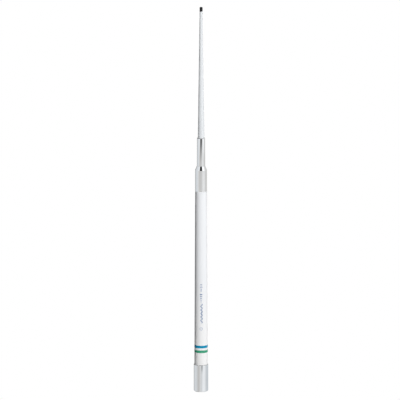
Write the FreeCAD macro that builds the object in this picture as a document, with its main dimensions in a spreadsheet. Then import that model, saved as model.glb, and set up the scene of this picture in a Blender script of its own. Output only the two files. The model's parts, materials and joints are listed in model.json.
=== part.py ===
"""Two-section omnidirectional whip antenna, as a parametric FreeCAD document.

The antenna stands on the origin with its axis along +Z. From the bottom up it has a chromed base ferrule
with the mount thread and a coaxial socket, a white glass-fibre tube around the lower half of the dipole,
a two-piece chromed joint that screws apart, a thinner glass-fibre whip around the upper half, and a cap.
All sizes are in millimetres. Threads are drawn as plain cylinders at their major diameter.
"""
import FreeCAD, Part
import os
import sys

import Sketcher

DRIVING_SIZES = {
    # lengths that stack up to the whole height
    "base_length": 72.0,
    "tube_length": 464.5,
    "joint_length": 56.5,
    "shoulder_length": 11.0,
    "collar_length": 74.0,
    "whip_length": 334.5,
    "cap_length": 11.5,
    # outside diameters
    "base_diameter": 38.1,
    "tube_foot_diameter": 35.2,
    "tube_head_diameter": 31.1,
    "tube_spigot_diameter": 28.0,
    "neck_diameter": 21.8,
    "collar_head_diameter": 21.2,
    "whip_foot_diameter": 17.0,
    "whip_head_diameter": 7.5,
    "cap_diameter": 7.8,
    # bores of the two glass-fibre tubes
    "tube_foot_bore": 29.2,
    "tube_head_bore": 24.0,
    "whip_foot_bore": 11.6,
    "whip_head_bore": 4.2,
    # how deep the tubes and the cap sit in the pieces that hold them
    "base_socket_depth": 28.0,
    "joint_socket_depth": 26.0,
    "whip_socket_depth": 44.0,
    "cap_shank_length": 10.0,
    "cap_shank_lead": 0.3,
    "cap_shank_lead_length": 1.0,
    "cap_round": 2.3,
    # base ferrule
    "mount_thread_diameter": 25.4,
    "mount_thread_length": 24.0,
    "mount_chamfer": 1.0,
    "foot_chamfer": 1.5,
    "chamber_diameter": 26.4,
    "web_thickness": 4.0,
    "web_hole_diameter": 16.1,
    "rim_countersink": 0.8,
    "rim_round": 0.5,
    # sealant bead in a rim's countersink
    "bead_clearance": 0.08,
    "bead_width": 0.68,
    "bead_crown_width": 0.44,
    "bead_crown_height": 0.36,
    "bead_height": 0.56,
    # coaxial socket and what clamps it in the web
    "socket_thread_diameter": 15.88,
    "socket_front_length": 11.0,
    "socket_flange_diameter": 21.0,
    "socket_flange_thickness": 2.7,
    "socket_rear_length": 10.8,
    "socket_back_wall": 4.0,
    "socket_bore": 12.8,
    "socket_rear_bore": 6.4,
    "insulator_recess": 5.0,
    "contact_proud": 0.5,
    "contact_diameter": 5.2,
    "contact_length": 13.0,
    "contact_bore": 4.0,
    "contact_bore_depth": 11.5,
    "contact_tail_diameter": 2.2,
    "contact_cup_floor": 2.2,
    "gasket_thickness": 0.8,
    "gasket_diameter": 20.0,
    "washer_thickness": 1.0,
    "washer_diameter": 20.6,
    "nut_thickness": 4.0,
    "nut_corner_diameter": 22.4,
    # coaxial cable and its crimp
    "conductor_diameter": 0.9,
    "dielectric_diameter": 2.95,
    "braid_diameter": 3.6,
    "jacket_diameter": 5.0,
    "barrel_cone_length": 2.0,
    "barrel_length": 7.0,
    "barrel_diameter": 4.0,
    "braid_wall": 0.3,
    "braid_flare_length": 1.5,
    "crimp_ring_diameter": 6.4,
    "jacket_start_above_crimp": 1.8,
    "jacket_end_below_feed": 10.0,
    "braid_end_above_feed": 1.5,
    "dielectric_end_below_terminal": 1.2,
    # choke on the cable below the dipole
    "ferrite_diameter": 14.0,
    "ferrite_length": 8.0,
    "ferrite_pitch": 9.0,
    "ferrite_height": 63.0,
    "choke_sleeve_diameter": 15.2,
    # lower half of the dipole and the feed point
    "sleeve_diameter": 22.2,
    "sleeve_wall": 0.8,
    "sleeve_length": 434.0,
    "sleeve_height": 92.0,
    "feed_ring_thickness": 3.0,
    "terminal_height": 542.0,
    "terminal_diameter": 6.0,
    "terminal_cup_diameter": 1.2,
    "terminal_cup_depth": 8.0,
    "terminal_stub_diameter": 4.0,
    "terminal_stub_length": 4.0,
    "feed_insulator_height": 546.0,
    "feed_insulator_thickness": 6.0,
    # joint
    "joint_cavity_diameter": 20.0,
    "joint_cavity_depth": 18.0,
    "stud_diameter": 15.8,
    "stud_buried_length": 16.0,
    "stud_free_length": 18.0,
    "stud_chamfer": 1.0,
    "ring_groove_diameter": 18.4,
    "ring_section": 1.0,
    "collar_thread_depth": 19.0,
    "collar_web": 11.0,
    "collar_round": 1.2,
    "parting_chamfer": 0.25,
    "shoulder_round": 1.0,
    # upper half of the dipole
    "rod_diameter": 3.2,
    "rod_length": 359.5,
    "rod_seat_depth": 8.0,
    # spacers
    "cable_spacer_thickness": 4.0,
    "cable_spacer_height": 98.0,
    "cable_spacer_pitch": 102.0,
    "tube_spacer_thickness": 5.0,
    "tube_spacer_height": 100.0,
    "tube_spacer_pitch": 104.0,
    "rod_spacer_thickness": 6.0,
    "rod_spacer_height": 694.0,
    "rod_spacer_pitch": 84.0,
    # colour bands
    "band_width": 7.0,
    "band_thickness": 0.15,
    "green_band_height": 105.2,
    "blue_band_height": 117.9,
    # gaps
    "glue_gap": 0.05,
    "slip_gap": 0.02,
}

FERRITE_COUNT = 3
CABLE_SPACER_COUNT = 5
TUBE_SPACER_COUNT = 5
ROD_SPACER_COUNT = 4
HEXAGON_SIDES = 6

DOC = FreeCAD.newDocument("antenna")


class Size:
    """A length that carries both its value and the sheet formula behind it, so sums stay bound to the sheet."""

    def __init__(self, formula, value):
        self.formula = formula
        self.value = value

    def __add__(self, other):
        other = as_size(other)
        return Size(f"({self.formula} + {other.formula})", self.value + other.value)

    def __sub__(self, other):
        other = as_size(other)
        return Size(f"({self.formula} - {other.formula})", self.value - other.value)

    def __mul__(self, other):
        other = as_size(other)
        return Size(f"({self.formula} * {other.formula})", self.value * other.value)

    def __truediv__(self, other):
        other = as_size(other)
        return Size(f"({self.formula} / {other.formula})", self.value / other.value)


def as_size(size):
    """Turns a plain number into a Size and leaves a Size as it is."""
    return size if isinstance(size, Size) else Size(repr(float(size)), float(size))


def filled_sheet():
    """Writes the driving sizes to the spreadsheet and returns each one as a Size."""
    sheet = DOC.addObject("Spreadsheet::Sheet", "sizes")
    sizes = {}
    for row, (alias, value) in enumerate(DRIVING_SIZES.items(), start=1):
        sheet.set(f"A{row}", alias)
        sheet.set(f"B{row}", str(value))
        sheet.setAlias(f"B{row}", alias)
        sizes[alias] = Size(f"sizes.{alias}", value)
    DOC.recompute()
    return sizes


S = filled_sheet()
ZERO = as_size(0)


# ---------------------------------------------------------------- ways of making a piece

def bind(thing, name, size):
    """Binds one property or named constraint to the sheet."""
    thing.setExpression(name, as_size(size).formula)


def outline_sketch(body, name, corners):
    """A closed outline of straight lines on the body's XZ plane, each (across, up) corner bound to the sheet."""
    sketch = body.newObject("Sketcher::SketchObject", name)
    plane = next(f for f in body.Origin.OriginFeatures if f.Role == "XZ_Plane")
    sketch.AttachmentSupport = (plane, [""])
    sketch.MapMode = "FlatFace"
    points = [FreeCAD.Vector(across.value, up.value, 0) for across, up in corners]
    sketch.addGeometry([Part.LineSegment(a, b) for a, b in zip(points, points[1:] + points[:1])], False)
    for i in range(len(points)):
        sketch.addConstraint(Sketcher.Constraint("Coincident", i, 2, (i + 1) % len(points), 1))
    for i, (across, up) in enumerate(corners):
        for kind, size, axis in (("DistanceX", across, -2), ("DistanceY", up, -1)):
            if size.value == 0:
                sketch.addConstraint(Sketcher.Constraint("PointOnObject", i, 1, axis))
                continue
            label = f"{kind}{i}"
            place = sketch.addConstraint(Sketcher.Constraint(kind, -1, 1, i, 1, size.value))
            sketch.renameConstraint(place, label)
            bind(sketch, f"Constraints.{label}", size)
    return sketch


def turned(name, bottom, corners):
    """A body turned about Z from a half section; corners are (radius, height above the piece's bottom)."""
    body = DOC.addObject("PartDesign::Body", name)
    section = outline_sketch(body, f"{name}_section", [(as_size(r), as_size(z)) for r, z in corners])
    turn = body.newObject("PartDesign::Revolution", f"{name}_turn")
    turn.Profile = section
    turn.ReferenceAxis = (section, ["V_Axis"])
    turn.Angle = 360
    bind(body, "Placement.Base.z", bottom)
    DOC.recompute()
    return body


def rounded(body, name, radius, ring_radius, ring_height):
    """Rounds the circular edge at a radius and a height above the body's bottom."""
    solid = body.Tip
    edges = [
        f"Edge{i}" for i, edge in enumerate(solid.Shape.Edges, start=1)
        if isinstance(edge.Curve, Part.Circle)
        and abs(edge.Curve.Radius - ring_radius.value) < 0.01
        and abs(edge.Curve.Center.z - ring_height.value) < 0.01
    ]
    fillet = body.newObject("PartDesign::Fillet", name)
    fillet.Base = (solid, edges)
    bind(fillet, "Radius", radius)
    DOC.recompute()


def cylinder(name, radius, bottom, length):
    """A solid cylinder on the axis."""
    piece = DOC.addObject("Part::Cylinder", name)
    bind(piece, "Radius", radius)
    bind(piece, "Height", length)
    bind(piece, "Placement.Base.z", bottom)
    return piece


def bored(name, blank, radius, bottom, length):
    """A blank with a cylindrical hole through it."""
    piece = DOC.addObject("Part::Cut", name)
    piece.Base = blank
    piece.Tool = cylinder(f"{name}_hole", radius, bottom, length)
    return piece


def sleeve(name, outer, inner, bottom, length):
    """A plain ring or sleeve."""
    return bored(name, cylinder(f"{name}_wall", outer, bottom, length), inner, bottom, length)


def group(name, pieces):
    """Several like pieces as one sub-part."""
    several = DOC.addObject("Part::Compound", name)
    several.Links = pieces
    return several


def between(foot, head, share):
    """A size part of the way from foot to head."""
    return foot + (head - foot) * share


def radius_of(alias):
    """Half of a diameter on the sheet."""
    return S[alias] / 2


# ---------------------------------------------------------------- heights up the antenna

TUBE_BOTTOM = S["base_length"] - S["base_socket_depth"]
WEB_BOTTOM = TUBE_BOTTOM - S["web_thickness"]
JOINT_BOTTOM = S["base_length"] + S["tube_length"]
TUBE_TOP = JOINT_BOTTOM + S["joint_socket_depth"]
SEAT = JOINT_BOTTOM + S["joint_length"] + S["shoulder_length"]
COLLAR_TOP = SEAT + S["collar_length"]
WHIP_BOTTOM = COLLAR_TOP - S["whip_socket_depth"]
CAP_BOTTOM = COLLAR_TOP + S["whip_length"]

FLANGE_TOP = WEB_BOTTOM - S["gasket_thickness"]
SOCKET_BOTTOM = FLANGE_TOP - S["socket_flange_thickness"] - S["socket_front_length"]
SOCKET_REAR = FLANGE_TOP + S["socket_rear_length"]
CRIMP_BOTTOM = SOCKET_REAR + S["barrel_cone_length"]
CRIMP_TOP = CRIMP_BOTTOM + S["barrel_length"]
JACKET_BOTTOM = CRIMP_TOP + S["jacket_start_above_crimp"]
FEED_TOP = S["sleeve_height"] + S["sleeve_length"]

GLUE = S["glue_gap"]
SLIP = S["slip_gap"]


def tube_radius(height):
    """Outside radius of the exposed lower tube."""
    share = (height - S["base_length"]) / S["tube_length"]
    return between(radius_of("tube_foot_diameter"), radius_of("tube_head_diameter"), share)


def tube_bore_radius(height):
    """Radius of the lower tube's tapered bore."""
    share = (height - TUBE_BOTTOM) / (TUBE_TOP - TUBE_BOTTOM)
    return between(radius_of("tube_foot_bore"), radius_of("tube_head_bore"), share)


def whip_bore_radius(height):
    """Radius of the whip's tapered bore."""
    share = (height - WHIP_BOTTOM) / (CAP_BOTTOM - WHIP_BOTTOM)
    return between(radius_of("whip_foot_bore"), radius_of("whip_head_bore"), share)


def seal_bead(name, tube, rim_height):
    """Bead of sealant that fills the countersink between a ferrule's rim and its tube, and domes above it."""
    inner = tube + GLUE
    depth = S["rim_countersink"] - S["bead_clearance"]
    return turned(name, rim_height - depth, [
        (inner, 0),
        (inner + S["bead_width"], S["bead_width"]),
        (inner + S["bead_crown_width"], depth + S["bead_crown_height"]),
        (inner, depth + S["bead_height"]),
    ])


# ---------------------------------------------------------------- base ferrule and coaxial socket

def base_ferrule():
    """Mount thread below, chamber for the coaxial plug, web that holds the socket, cup for the tube above."""
    outer = radius_of("base_diameter")
    thread = radius_of("mount_thread_diameter")
    chamber = radius_of("chamber_diameter")
    web_hole = radius_of("web_hole_diameter")
    cup = radius_of("tube_foot_diameter") + GLUE
    top = S["base_length"]
    foot = S["foot_chamfer"]
    lead_in = S["mount_chamfer"]
    rim = S["rim_countersink"]
    body = turned("base_ferrule", ZERO, [
        (thread + lead_in, 0),
        (outer - foot, 0),
        (outer, foot),
        (outer, top),
        (cup + rim, top),
        (cup, top - rim),
        (cup, TUBE_BOTTOM),
        (web_hole, TUBE_BOTTOM),
        (web_hole, WEB_BOTTOM),
        (chamber, WEB_BOTTOM),
        (chamber, S["mount_thread_length"]),
        (thread, S["mount_thread_length"]),
        (thread, lead_in),
    ])
    rounded(body, "base_ferrule_rim", S["rim_round"], outer, top)
    return body


def coax_socket_shell():
    """Bulkhead socket: plug thread in front, flange, bulkhead thread, crimp barrel for the cable's braid."""
    thread = radius_of("socket_thread_diameter")
    bore = radius_of("socket_bore")
    rear_bore = radius_of("socket_rear_bore")
    flange = radius_of("socket_flange_diameter")
    barrel = radius_of("barrel_diameter")
    barrel_bore = radius_of("dielectric_diameter") + GLUE
    flange_bottom = S["socket_front_length"]
    flange_top = FLANGE_TOP - SOCKET_BOTTOM
    rear = SOCKET_REAR - SOCKET_BOTTOM
    edge = S["rim_round"]
    return turned("coax_socket_shell", SOCKET_BOTTOM, [
        (bore, 0),
        (thread - edge, 0),
        (thread, edge),
        (thread, flange_bottom),
        (flange, flange_bottom),
        (flange, flange_top),
        (thread, flange_top),
        (thread, rear - edge),
        (thread - edge, rear),
        (barrel, CRIMP_BOTTOM - SOCKET_BOTTOM),
        (barrel, CRIMP_TOP - SOCKET_BOTTOM),
        (barrel_bore, CRIMP_TOP - SOCKET_BOTTOM),
        (barrel_bore, rear),
        (rear_bore, rear),
        (rear_bore, rear - S["socket_back_wall"]),
        (bore, rear - S["socket_back_wall"]),
    ])


def coax_socket_insulator():
    """Stepped insulator that carries the socket's centre contact."""
    bottom = SOCKET_BOTTOM + S["insulator_recess"]
    back = SOCKET_REAR - S["socket_back_wall"] - bottom - SLIP
    end = SOCKET_REAR - bottom - SLIP
    contact_end = S["contact_length"] - S["contact_proud"] + SLIP
    return turned("coax_socket_insulator", bottom, [
        (radius_of("contact_diameter") + SLIP, 0),
        (radius_of("socket_bore") - SLIP, 0),
        (radius_of("socket_bore") - SLIP, back),
        (radius_of("socket_rear_bore") - SLIP, back),
        (radius_of("socket_rear_bore") - SLIP, end),
        (radius_of("contact_tail_diameter") + SLIP, end),
        (radius_of("contact_tail_diameter") + SLIP, contact_end),
        (radius_of("contact_diameter") + SLIP, contact_end),
    ])


CONTACT_BOTTOM = SOCKET_BOTTOM + S["insulator_recess"] - S["contact_proud"]
CONTACT_CUP_BOTTOM = CONTACT_BOTTOM + S["contact_length"] + S["contact_cup_floor"]


def coax_socket_contact():
    """Centre contact: bored for the plug's pin in front, a solder cup for the cable's conductor behind."""
    head = radius_of("contact_diameter")
    tail = radius_of("contact_tail_diameter")
    bore = radius_of("contact_bore")
    cup = radius_of("conductor_diameter") + SLIP
    cup_bottom = CONTACT_CUP_BOTTOM - CONTACT_BOTTOM
    end = SOCKET_REAR - CONTACT_BOTTOM - SLIP * 2
    edge = S["rim_round"] / 2
    return turned("coax_socket_contact", CONTACT_BOTTOM, [
        (bore, 0),
        (head - edge, 0),
        (head, edge),
        (head, S["contact_length"]),
        (tail, S["contact_length"]),
        (tail, end),
        (cup, end),
        (cup, cup_bottom),
        (0, cup_bottom),
        (0, S["contact_bore_depth"]),
        (bore, S["contact_bore_depth"]),
    ])


def socket_gasket():
    """Flat gasket between the socket's flange and the web."""
    inner = radius_of("socket_thread_diameter") + GLUE
    return sleeve("socket_gasket", radius_of("gasket_diameter"), inner, FLANGE_TOP, S["gasket_thickness"])


def socket_washer():
    """Washer above the web."""
    inner = radius_of("web_hole_diameter")
    return sleeve("socket_washer", radius_of("washer_diameter"), inner, TUBE_BOTTOM, S["washer_thickness"])


def socket_nut():
    """Hexagonal nut that clamps the socket in the web."""
    bottom = TUBE_BOTTOM + S["washer_thickness"]
    hexagon = DOC.addObject("Part::Prism", "socket_nut_hexagon")
    hexagon.Polygon = HEXAGON_SIDES
    bind(hexagon, "Circumradius", radius_of("nut_corner_diameter"))
    bind(hexagon, "Height", S["nut_thickness"])
    bind(hexagon, "Placement.Base.z", bottom)
    inner = radius_of("socket_thread_diameter") + GLUE
    return bored("socket_nut", hexagon, inner, bottom, S["nut_thickness"])


# ---------------------------------------------------------------- lower tube and what it carries

def lower_tube():
    """Glass-fibre tube: parallel foot in the base ferrule, slow taper, turned-down spigot in the joint."""
    foot = radius_of("tube_foot_diameter")
    spigot = radius_of("tube_spigot_diameter")
    length = TUBE_TOP - TUBE_BOTTOM
    shoulder = JOINT_BOTTOM - TUBE_BOTTOM
    chamfer = S["rim_countersink"]
    return turned("lower_tube", TUBE_BOTTOM, [
        (radius_of("tube_foot_bore"), 0),
        (foot - chamfer, 0),
        (foot, chamfer),
        (foot, S["base_socket_depth"]),
        (radius_of("tube_head_diameter"), shoulder),
        (spigot, shoulder),
        (spigot, length - chamfer),
        (spigot - chamfer, length),
        (radius_of("tube_head_bore"), length),
    ])


def colour_band(name, bottom):
    """Thin coloured band that follows the tube's taper."""
    width = S["band_width"]
    foot = tube_radius(bottom) + SLIP
    head = tube_radius(bottom + width) + SLIP
    thickness = S["band_thickness"]
    return turned(name, bottom, [
        (foot, 0),
        (foot + thickness, thickness),
        (head + thickness, width - thickness),
        (head, width),
    ])


# ---------------------------------------------------------------- cable inside the lower tube

def cable_conductor():
    """Centre conductor, from the socket's contact to the feed terminal."""
    bottom = CONTACT_CUP_BOTTOM + SLIP
    top = S["terminal_height"] + S["terminal_cup_depth"] - SLIP
    return cylinder("cable_conductor", radius_of("conductor_diameter"), bottom, top - bottom)


def cable_dielectric():
    """Insulation around the conductor."""
    bottom = SOCKET_REAR + SLIP
    inner = radius_of("conductor_diameter") + SLIP
    top = S["terminal_height"] - S["dielectric_end_below_terminal"]
    return sleeve("cable_dielectric", radius_of("dielectric_diameter"), inner, bottom, top - bottom)


def cable_braid():
    """Braided screen, flared over the socket's crimp barrel at its lower end."""
    wall = S["braid_wall"]
    outer = radius_of("braid_diameter")
    flared = radius_of("barrel_diameter") + SLIP
    flare_bottom = S["barrel_length"] + SLIP
    flare_top = flare_bottom + S["braid_flare_length"]
    top = FEED_TOP + S["braid_end_above_feed"] - CRIMP_BOTTOM
    return turned("cable_braid", CRIMP_BOTTOM, [
        (flared, 0),
        (flared + wall, 0),
        (flared + wall, flare_bottom),
        (outer, flare_top),
        (outer, top),
        (outer - wall, top),
        (outer - wall, flare_top),
        (flared, flare_bottom),
    ])


def cable_jacket():
    """Outer jacket of the cable."""
    inner = radius_of("braid_diameter") + SLIP
    top = FEED_TOP - S["jacket_end_below_feed"]
    return sleeve("cable_jacket", radius_of("jacket_diameter"), inner, JACKET_BOTTOM, top - JACKET_BOTTOM)


def cable_crimp_ring():
    """Ring crimped over the braid on the socket's barrel."""
    inner = radius_of("barrel_diameter") + S["braid_wall"] + SLIP * 2
    return sleeve("cable_crimp_ring", radius_of("crimp_ring_diameter"), inner, CRIMP_BOTTOM, S["barrel_length"])


# ---------------------------------------------------------------- choke, lower radiator and feed point

def ferrite_beads():
    """Row of ferrite beads on the cable, which chokes currents on its outside."""
    inner = radius_of("jacket_diameter") + GLUE
    return group("ferrite_beads", [
        sleeve(f"ferrite_bead_{i}", radius_of("ferrite_diameter"), inner,
               S["ferrite_height"] + S["ferrite_pitch"] * i, S["ferrite_length"])
        for i in range(FERRITE_COUNT)
    ])


def choke_sleeve():
    """Heat-shrunk sleeve around the ferrite beads."""
    inner = radius_of("ferrite_diameter") + GLUE
    length = S["ferrite_pitch"] * (FERRITE_COUNT - 1) + S["ferrite_length"]
    return sleeve("choke_sleeve", radius_of("choke_sleeve_diameter"), inner, S["ferrite_height"], length)


def radiator_sleeve():
    """Brass tube that is the lower half of the dipole."""
    outer = radius_of("sleeve_diameter")
    return sleeve("radiator_sleeve", outer, outer - S["sleeve_wall"], S["sleeve_height"], S["sleeve_length"])


def spacer_row(kind, count, outer_radius_at, inner):
    """Row of evenly spaced spacers, each fitted to the radius of the bore around it."""
    thickness = S[f"{kind}_thickness"]
    bottoms = [S[f"{kind}_height"] + S[f"{kind}_pitch"] * i for i in range(count)]
    return group(f"{kind}s", [
        sleeve(f"{kind}_{i}", outer_radius_at(bottom + thickness) - GLUE, inner, bottom, thickness)
        for i, bottom in enumerate(bottoms)
    ])


def sleeve_bore_radius(_height):
    """Radius of the lower radiator's bore, the same all the way up."""
    return radius_of("sleeve_diameter") - S["sleeve_wall"]


def cable_spacers():
    """Foam discs that centre the cable in the lower radiator."""
    inner = radius_of("jacket_diameter") + GLUE
    return spacer_row("cable_spacer", CABLE_SPACER_COUNT, sleeve_bore_radius, inner)


def tube_spacers():
    """Foam rings that centre the lower radiator in the glass-fibre tube."""
    inner = radius_of("sleeve_diameter") + GLUE
    return spacer_row("tube_spacer", TUBE_SPACER_COUNT, tube_bore_radius, inner)


def feed_ring():
    """Disc that joins the cable's braid to the top of the lower radiator."""
    outer = sleeve_bore_radius(FEED_TOP) - GLUE
    bottom = FEED_TOP - S["feed_ring_thickness"]
    inner = radius_of("braid_diameter") + SLIP
    return sleeve("feed_ring", outer, inner, bottom, S["feed_ring_thickness"])


def feed_insulator():
    """Disc that centres the feed terminal in the top of the tube."""
    bottom = S["feed_insulator_height"]
    outer = tube_bore_radius(bottom + S["feed_insulator_thickness"]) - GLUE
    inner = radius_of("terminal_diameter") + GLUE
    return sleeve("feed_insulator", outer, inner, bottom, S["feed_insulator_thickness"])


CAVITY_TOP = TUBE_TOP + S["joint_cavity_depth"]


def feed_terminal():
    """Post from the cable's conductor to the joint: solder cup below, stub pressed into the ferrule above."""
    post = radius_of("terminal_diameter")
    cup = radius_of("terminal_cup_diameter")
    stub = radius_of("terminal_stub_diameter")
    shoulder = CAVITY_TOP - S["terminal_height"] - SLIP
    top = shoulder + S["terminal_stub_length"]
    return turned("feed_terminal", S["terminal_height"], [
        (cup, 0),
        (post, 0),
        (post, shoulder),
        (stub, shoulder),
        (stub, top),
        (0, top),
        (0, S["terminal_cup_depth"]),
        (cup, S["terminal_cup_depth"]),
    ])


# ---------------------------------------------------------------- joint

STUD_BOTTOM = SEAT - S["stud_buried_length"]
STUD_HOLE = radius_of("stud_diameter") + GLUE
RING_DEPTH = S["ring_section"] + GLUE


def lower_joint_ferrule():
    """Ferrule on the lower tube: sleeve, conical shoulder, seat with a groove for the sealing ring."""
    outer = radius_of("tube_head_diameter")
    neck = radius_of("neck_diameter")
    cup = radius_of("tube_spigot_diameter") + GLUE
    cavity = radius_of("joint_cavity_diameter")
    stub = radius_of("terminal_stub_diameter") + SLIP
    groove_inner = radius_of("ring_groove_diameter") - S["ring_section"] / 2 - GLUE
    groove_outer = radius_of("ring_groove_diameter") + S["ring_section"] / 2 + GLUE
    shoulder = S["joint_length"]
    seat = shoulder + S["shoulder_length"]
    parting = S["parting_chamfer"]
    cup_top = S["joint_socket_depth"] + GLUE
    cavity_top = CAVITY_TOP - JOINT_BOTTOM
    stub_top = cavity_top + S["terminal_stub_length"] + SLIP
    stud_bottom = STUD_BOTTOM - JOINT_BOTTOM
    body = turned("lower_joint_ferrule", JOINT_BOTTOM, [
        (cup, 0),
        (outer, 0),
        (outer, shoulder),
        (neck, seat - parting),
        (neck - parting, seat),
        (groove_outer, seat),
        (groove_outer, seat - RING_DEPTH),
        (groove_inner, seat - RING_DEPTH),
        (groove_inner, seat),
        (STUD_HOLE, seat),
        (STUD_HOLE, stud_bottom),
        (0, stud_bottom),
        (0, stub_top),
        (stub, stub_top),
        (stub, cavity_top),
        (cavity, cavity_top),
        (cavity, cup_top),
        (cup, cup_top),
    ])
    rounded(body, "lower_joint_ferrule_shoulder", S["shoulder_round"], outer, shoulder)
    return body


def joint_stud():
    """Threaded stud fixed in the lower ferrule, which the upper ferrule screws onto."""
    radius = radius_of("stud_diameter")
    chamfer = S["stud_chamfer"]
    top = S["stud_buried_length"] + S["stud_free_length"]
    return turned("joint_stud", STUD_BOTTOM, [
        (0, GLUE),
        (radius - chamfer, GLUE),
        (radius, chamfer + GLUE),
        (radius, top - chamfer),
        (radius - chamfer, top),
        (0, top),
    ])


def joint_o_ring():
    """Sealing ring in the groove of the seat, dragged round by the ferrule above it."""
    ring = DOC.addObject("Part::Torus", "joint_o_ring")
    bind(ring, "Radius1", radius_of("ring_groove_diameter"))
    bind(ring, "Radius2", radius_of("ring_section"))
    bind(ring, "Placement.Base.z", SEAT - RING_DEPTH + radius_of("ring_section") + SLIP)
    return ring


def upper_joint_ferrule():
    """Ferrule under the whip: threaded below, bored for the radiating rod, cup for the whip above."""
    neck = radius_of("neck_diameter")
    head = radius_of("collar_head_diameter")
    rod = radius_of("rod_diameter") + SLIP
    cup = radius_of("whip_foot_diameter") + GLUE
    top = S["collar_length"]
    parting = S["parting_chamfer"]
    rim = S["rim_countersink"]
    web_top = S["collar_thread_depth"] + S["collar_web"]
    rod_bottom = web_top - S["rod_seat_depth"] - SLIP
    body = turned("upper_joint_ferrule", SEAT, [
        (STUD_HOLE, 0),
        (neck - parting, 0),
        (neck, parting),
        (head, top),
        (cup + rim, top),
        (cup, top - rim),
        (cup, web_top),
        (rod, web_top),
        (rod, rod_bottom),
        (0, rod_bottom),
        (0, S["collar_thread_depth"]),
        (STUD_HOLE, S["collar_thread_depth"]),
    ])
    rounded(body, "upper_joint_ferrule_rim", S["collar_round"], head, top)
    return body


# ---------------------------------------------------------------- whip

def whip_tube():
    """Glass-fibre whip: parallel foot in the upper ferrule, then a taper to the tip."""
    foot = radius_of("whip_foot_diameter")
    chamfer = S["rim_countersink"]
    length = CAP_BOTTOM - WHIP_BOTTOM
    return turned("whip_tube", WHIP_BOTTOM, [
        (radius_of("whip_foot_bore"), 0),
        (foot - chamfer, 0),
        (foot, chamfer),
        (foot, S["whip_socket_depth"]),
        (radius_of("whip_head_diameter"), length),
        (radius_of("whip_head_bore"), length),
    ])


def upper_element():
    """Brass rod that is the upper half of the dipole."""
    bottom = WHIP_BOTTOM - S["rod_seat_depth"]
    return cylinder("upper_element", radius_of("rod_diameter"), bottom, S["rod_length"])


def rod_spacers():
    """Foam discs that centre the rod in the whip."""
    inner = radius_of("rod_diameter") + SLIP
    return spacer_row("rod_spacer", ROD_SPACER_COUNT, whip_bore_radius, inner)


def tip_cap():
    """Moulded cap on the whip's tip: shank in the bore, head domed above it."""
    shank = radius_of("whip_head_bore") - GLUE
    head = radius_of("cap_diameter")
    seat = S["cap_shank_length"]
    top = seat + S["cap_length"]
    body = turned("tip_cap", CAP_BOTTOM - seat, [
        (0, 0),
        (shank - S["cap_shank_lead"], 0),
        (shank, S["cap_shank_lead_length"]),
        (shank, seat),
        (head, seat),
        (head, top),
        (0, top),
    ])
    rounded(body, "tip_cap_dome", S["cap_round"], head, top)
    return body


# ---------------------------------------------------------------- the assembly

PIECES = [
    base_ferrule(),
    seal_bead("base_seal_bead", radius_of("tube_foot_diameter"), S["base_length"]),
    coax_socket_shell(),
    coax_socket_insulator(),
    coax_socket_contact(),
    socket_gasket(),
    socket_washer(),
    socket_nut(),
    lower_tube(),
    colour_band("green_band", S["green_band_height"]),
    colour_band("blue_band", S["blue_band_height"]),
    cable_conductor(),
    cable_dielectric(),
    cable_braid(),
    cable_jacket(),
    cable_crimp_ring(),
    ferrite_beads(),
    choke_sleeve(),
    radiator_sleeve(),
    cable_spacers(),
    tube_spacers(),
    feed_ring(),
    feed_insulator(),
    feed_terminal(),
    lower_joint_ferrule(),
    joint_stud(),
    joint_o_ring(),
    upper_joint_ferrule(),
    seal_bead("whip_seal_bead", radius_of("whip_foot_diameter"), COLLAR_TOP),
    whip_tube(),
    upper_element(),
    rod_spacers(),
    tip_cap(),
]

DOC.recompute()

broken = [item.Name for item in DOC.Objects if {"Invalid", "Error"} & set(item.State)]
broken += [piece.Name for piece in PIECES if piece.Shape.isNull() or not piece.Shape.isValid()]
if broken:
    sys.exit("broken objects: " + ", ".join(broken))

os.makedirs("parts", exist_ok=True)
for piece in PIECES:
    piece.Shape.exportStep(f"parts/{piece.Name}.step")
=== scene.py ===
"""Looks of a two-section omnidirectional whip antenna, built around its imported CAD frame.

Lengths are in metres. Azimuths are in degrees, from 0 on the camera's side to 90 on its right.
"""

import functools
import json
import math
from collections import namedtuple

import bmesh
import bpy
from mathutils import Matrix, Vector


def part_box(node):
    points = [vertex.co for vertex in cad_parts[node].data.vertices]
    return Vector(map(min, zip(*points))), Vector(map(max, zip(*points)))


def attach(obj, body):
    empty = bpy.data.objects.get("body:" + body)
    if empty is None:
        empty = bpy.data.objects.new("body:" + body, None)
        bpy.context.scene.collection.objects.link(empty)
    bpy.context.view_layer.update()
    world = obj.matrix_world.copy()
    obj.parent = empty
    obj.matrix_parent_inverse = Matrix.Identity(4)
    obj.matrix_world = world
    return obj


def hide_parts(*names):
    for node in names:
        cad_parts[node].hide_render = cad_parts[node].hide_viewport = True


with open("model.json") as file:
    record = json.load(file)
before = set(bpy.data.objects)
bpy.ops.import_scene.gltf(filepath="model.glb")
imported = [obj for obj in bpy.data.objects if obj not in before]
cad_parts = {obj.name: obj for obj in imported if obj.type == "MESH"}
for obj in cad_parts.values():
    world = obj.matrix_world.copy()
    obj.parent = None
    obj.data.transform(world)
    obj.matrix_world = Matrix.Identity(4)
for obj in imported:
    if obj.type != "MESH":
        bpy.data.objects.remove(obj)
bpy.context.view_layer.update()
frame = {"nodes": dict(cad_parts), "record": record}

MM = 0.001
MICRON = 0.001 * MM
TAU = math.tau


@functools.cache
def box_of(node):
    """Lowest and highest corner of a CAD node."""
    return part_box(node)


def top_of(node):
    """Height of a CAD node's top."""
    return box_of(node)[1].z


def bottom_of(node):
    """Height of a CAD node's bottom."""
    return box_of(node)[0].z


def radius_of(node):
    """Outside radius of a CAD node that was turned about Z."""
    return box_of(node)[1].x


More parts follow.
